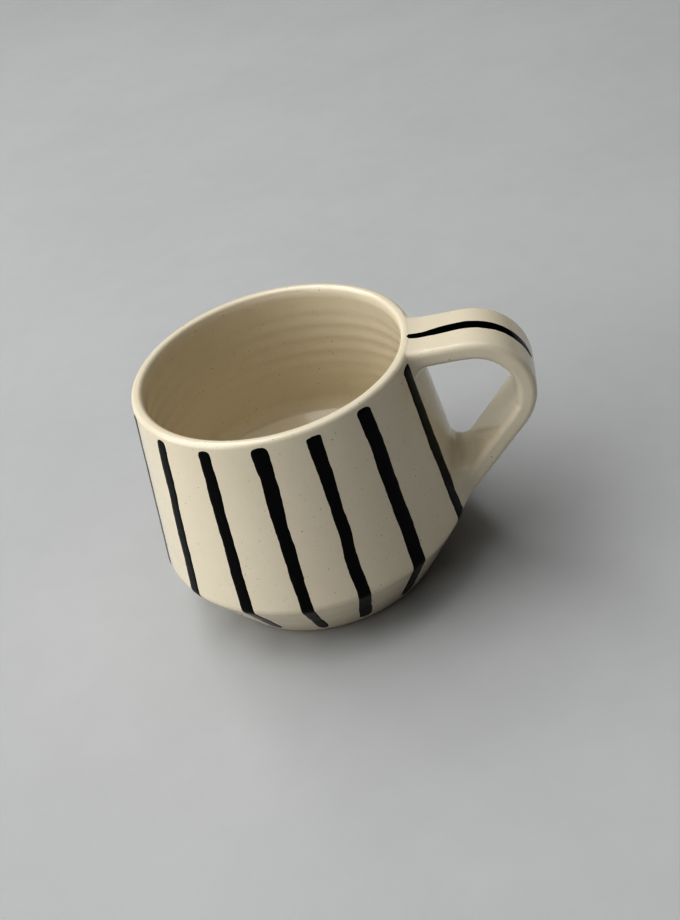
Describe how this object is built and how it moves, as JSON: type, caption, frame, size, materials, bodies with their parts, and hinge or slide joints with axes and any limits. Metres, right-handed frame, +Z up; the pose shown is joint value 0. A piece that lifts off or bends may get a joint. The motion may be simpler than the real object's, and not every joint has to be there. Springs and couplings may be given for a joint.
{
  "type": "ceramic mug",
  "caption": "Low hand-thrown stoneware mug with a strap handle, a wide belly edge above a bevelled foot, and brushed slip stripes.",
  "frame": {"origin": "centre of the flat foot, on the surface that the mug rests on", "axes": "+Z up along the mug's turning axis towards the mouth, +X towards the handle"},
  "size_m": [0.1182, 0.0938, 0.073],
  "materials": {
    "glazed_stoneware": "glossy clear glaze over cream speckled stoneware",
    "black_slip": "brushed black slip under the same glossy clear glaze"
  },
  "bodies": {
    "root": {"thrown_body": "glazed_stoneware", "strap_handle": "glazed_stoneware", "handle_stroke": "black_slip", "brush_stroke_01": "black_slip", "brush_stroke_02": "black_slip", "brush_stroke_03": "black_slip", "brush_stroke_04": "black_slip", "brush_stroke_05": "black_slip", "brush_stroke_06": "black_slip", "brush_stroke_07": "black_slip", "brush_stroke_08": "black_slip", "brush_stroke_09": "black_slip", "brush_stroke_10": "black_slip", "brush_stroke_11": "black_slip", "brush_stroke_12": "black_slip", "brush_stroke_13": "black_slip", "brush_stroke_14": "black_slip", "brush_stroke_15": "black_slip"}
  },
  "joints": []
}
